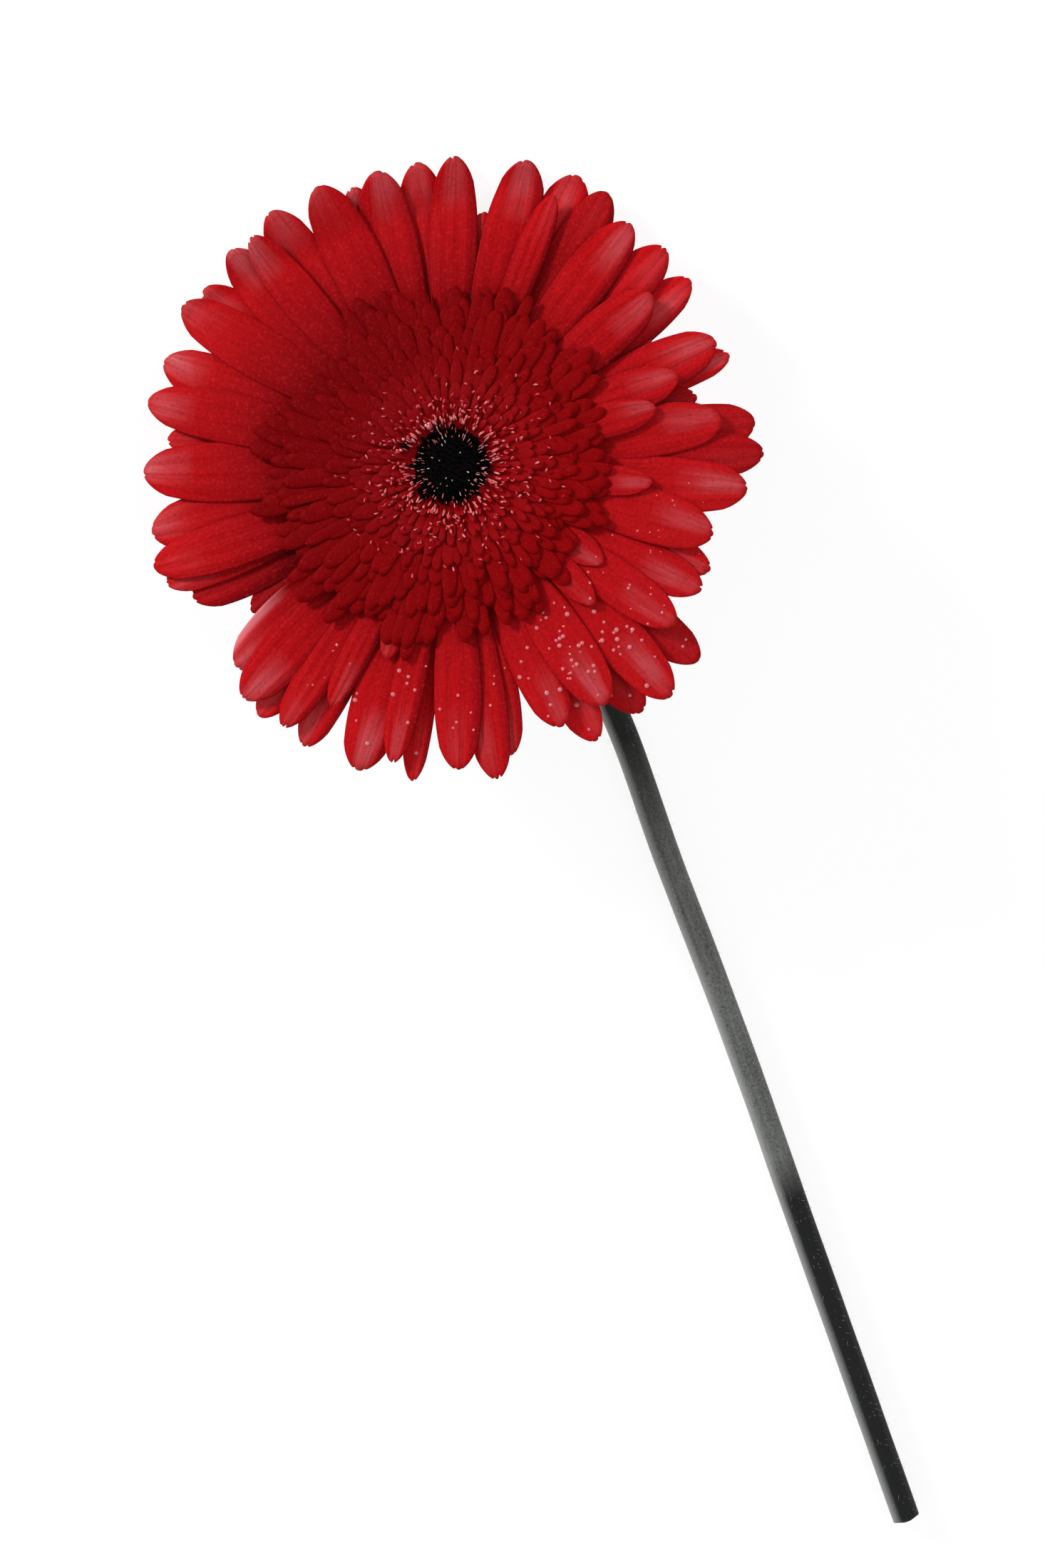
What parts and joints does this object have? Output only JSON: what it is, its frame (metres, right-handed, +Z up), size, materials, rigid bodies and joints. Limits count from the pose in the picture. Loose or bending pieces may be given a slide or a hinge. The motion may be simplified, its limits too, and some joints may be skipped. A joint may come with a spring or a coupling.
{
  "type": "cut gerbera",
  "caption": "A cut gerbera lying down: a bright red bloom with a dark crimson ring and a black eye, on a bare, slightly curved charcoal grey stem with a slanted cut end.",
  "frame": {"origin": "on the surface that the flower lies on, under the middle of the whole flower", "axes": "+Z up; the stem runs from the bloom towards -Y and the bloom's far petals point to +Y; +X is across the stem"},
  "size_m": [0.1074, 0.3112, 0.0451],
  "materials": {
    "stem_skin": null,
    "bract_green": "thin overlapping bracts, matt, dark grey-green",
    "petal_red": "thin soft petals, satin, with fine veins along them and a pinkish sheen near the tips",
    "floret_crimson": "thin soft florets, satin, dark crimson with paler tips",
    "eye_black": "closed buds, matt, near black with a few cream points"
  },
  "bodies": {
    "root": {"stem": "stem_skin", "involucre": "bract_green", "ray_florets": "petal_red", "trans_florets": "floret_crimson", "disc_florets": "eye_black"}
  },
  "joints": []
}
